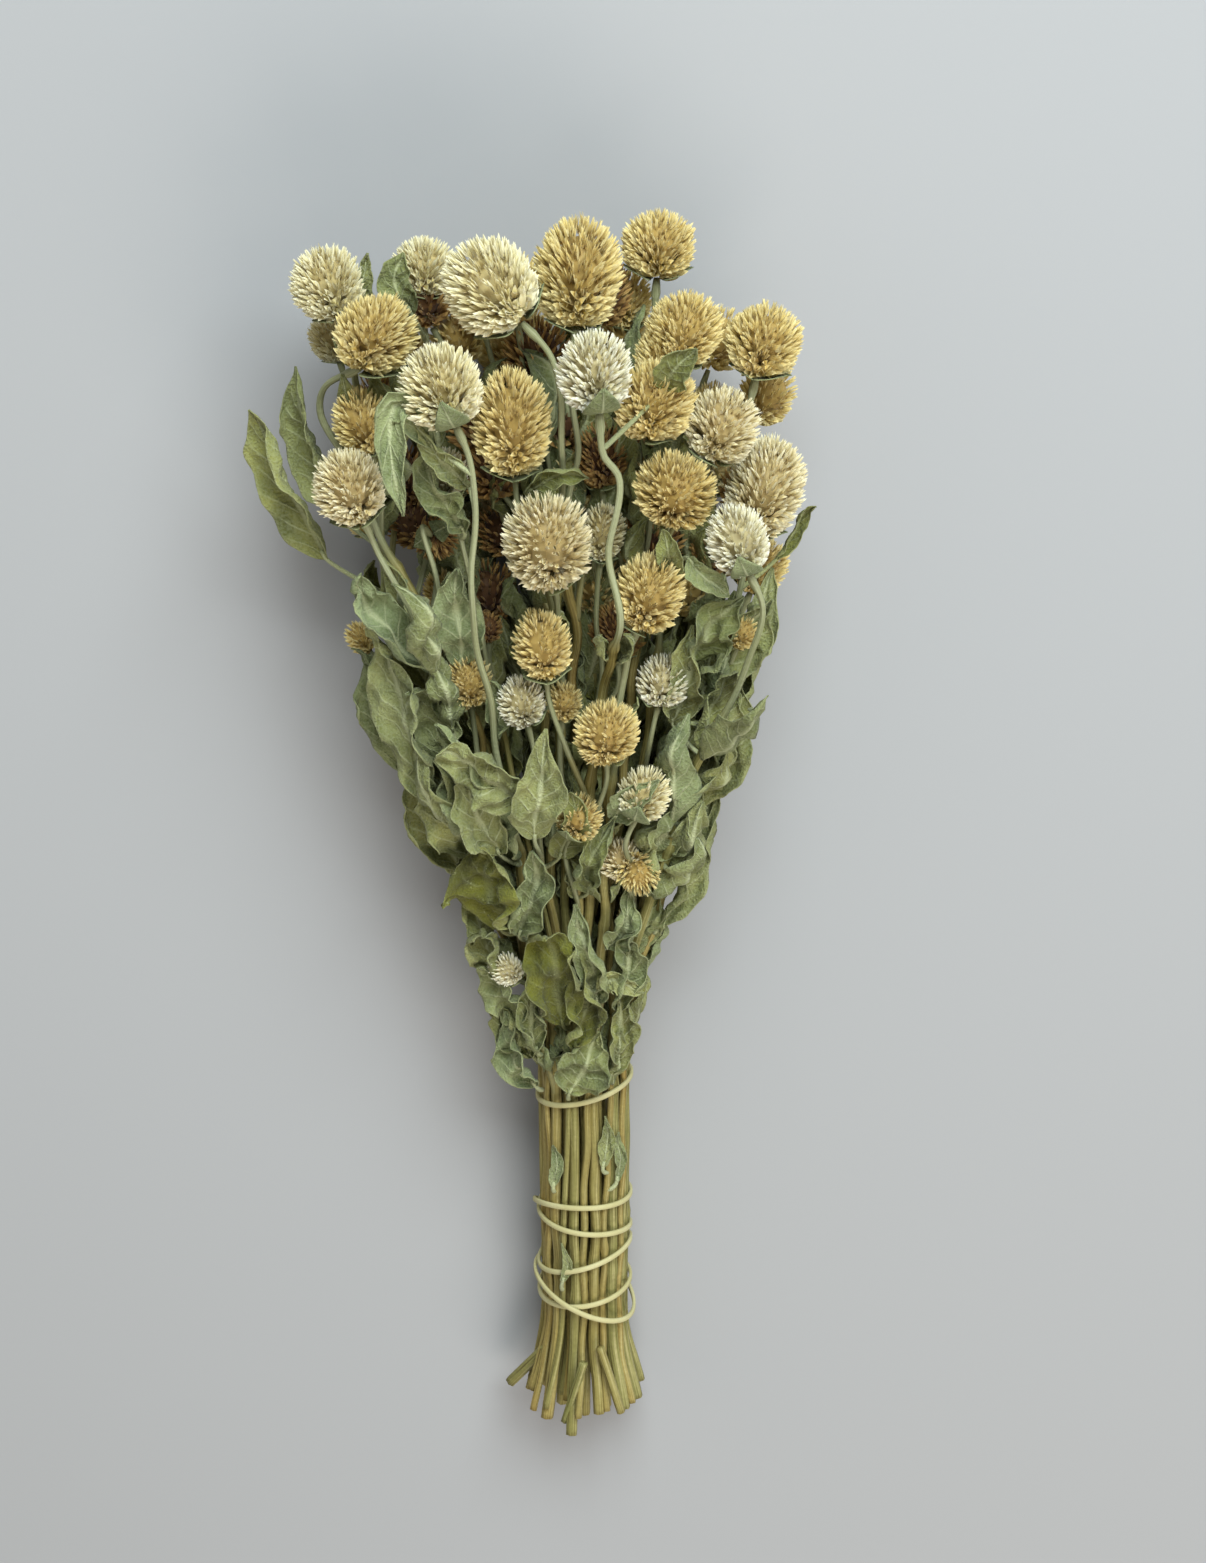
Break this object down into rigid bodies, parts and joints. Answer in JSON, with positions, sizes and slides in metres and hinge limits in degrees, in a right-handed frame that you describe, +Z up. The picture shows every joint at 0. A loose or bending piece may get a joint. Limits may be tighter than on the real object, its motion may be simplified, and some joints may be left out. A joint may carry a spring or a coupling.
{
  "type": "bunch of dried globe amaranth",
  "caption": "Tied bunch of dried straw-coloured globe amaranth, with round papery heads on branched stalks, curled dry leaves and elastic bands, lying on its back.",
  "frame": {"origin": "middle of the bunch's footprint, on the surface that it lies on", "axes": "+Y along the bunch from the cut ends to the flower heads, +X across it, +Z up from the surface"},
  "size_m": [0.185, 0.4622, 0.1154],
  "materials": {
    "straw_bracts": "dry matt papery bracts, straw gold to cream",
    "dried_stalk": "dry ridged stalk, olive to golden straw",
    "dried_leaf": "dry crumpled leaf, grey green with pale veins",
    "elastic_band": "pale natural rubber, matt"
  },
  "bodies": {
    "root": {"head_left_tip": "straw_bracts", "head_left_upper": "straw_bracts", "head_left_mid": "straw_bracts", "head_left_low": "straw_bracts", "head_cream_large": "straw_bracts", "head_gold_tall": "straw_bracts", "head_top_right": "straw_bracts", "head_right_upper": "straw_bracts", "head_right_tip": "straw_bracts", "head_pale_drooping": "straw_bracts", "head_gold_oval": "straw_bracts", "head_cream_bracted": "straw_bracts", "head_gold_broad": "straw_bracts", "head_right_white": "straw_bracts", "head_centre_back": "straw_bracts", "head_right_gold": "straw_bracts", "head_right_large": "straw_bracts", "head_right_pale": "straw_bracts", "head_centre_large": "straw_bracts", "head_centre_right": "straw_bracts", "head_centre_low": "straw_bracts", "head_brown_back": "straw_bracts", "head_low_gold": "straw_bracts", "head_low_white": "straw_bracts", "head_low_right": "straw_bracts", "head_under_left": "straw_bracts", "head_under_mid": "straw_bracts", "head_under_low": "straw_bracts", "head_under_right": "straw_bracts", "head_under_far": "straw_bracts", "stalk_01": "dried_stalk", "stalk_02": "dried_stalk", "stalk_03": "dried_stalk", "stalk_04": "dried_stalk", "stalk_05": "dried_stalk", "stalk_06": "dried_stalk", "stalk_07": "dried_stalk", "stalk_08": "dried_stalk", "stalk_09": "dried_stalk", "stalk_10": "dried_stalk", "stalk_11": "dried_stalk", "stalk_12": "dried_stalk", "stalk_13": "dried_stalk", "stalk_14": "dried_stalk", "stalk_15": "dried_stalk", "stalk_16": "dried_stalk", "stalk_17": "dried_stalk", "stalk_18": "dried_stalk", "stalk_19": "dried_stalk", "leaf_left_long": "dried_leaf", "leaf_left_second": "dried_leaf", "leaf_left_large": "dried_leaf", "leaf_front_left": "dried_leaf", "leaf_front_broad": "dried_leaf", "leaf_olive_curled": "dried_leaf", "leaf_neck": "dried_leaf", "leaf_right_mid": "dried_leaf", "leaf_right_long": "dried_leaf", "band_upper": "elastic_band", "band_lower": "elastic_band"}
  },
  "joints": []
}
